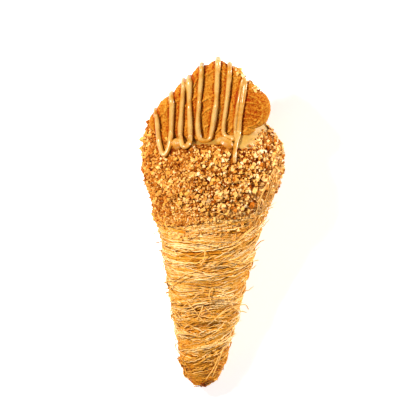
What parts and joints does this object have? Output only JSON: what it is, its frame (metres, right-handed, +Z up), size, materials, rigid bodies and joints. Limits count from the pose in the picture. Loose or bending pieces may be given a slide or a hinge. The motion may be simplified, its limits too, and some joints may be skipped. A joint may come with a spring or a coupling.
{
  "type": "cream horn pastry",
  "caption": "Cream horn lying on its side: thread-wound pastry cone, crumb-coated mouth, caramel cream, and a scalloped biscuit drizzled with caramel.",
  "frame": {"origin": "centre of the footprint, on the surface that the horn lies on", "axes": "+Y from the tip to the mouth along the table, +Z up through the dressed front, +X to the right"},
  "size_m": [0.0584, 0.1376, 0.057],
  "materials": {
    "baked_pastry_threads": "crisp, golden-brown threads of baked kataifi pastry",
    "biscuit_crumbs": "dry, coarse crumbs of caramelised biscuit",
    "caramel_cream": "smooth caramel cream with a soft sheen",
    "caramelised_biscuit": "baked, fine-grained caramelised biscuit",
    "caramel_drizzle": "set caramel spread with a satin gloss"
  },
  "bodies": {
    "root": {"pastry_cone": "baked_pastry_threads", "crumb_coat": "biscuit_crumbs", "cream_filling": "caramel_cream", "caramel_biscuit": "caramelised_biscuit"}
  },
  "joints": []
}
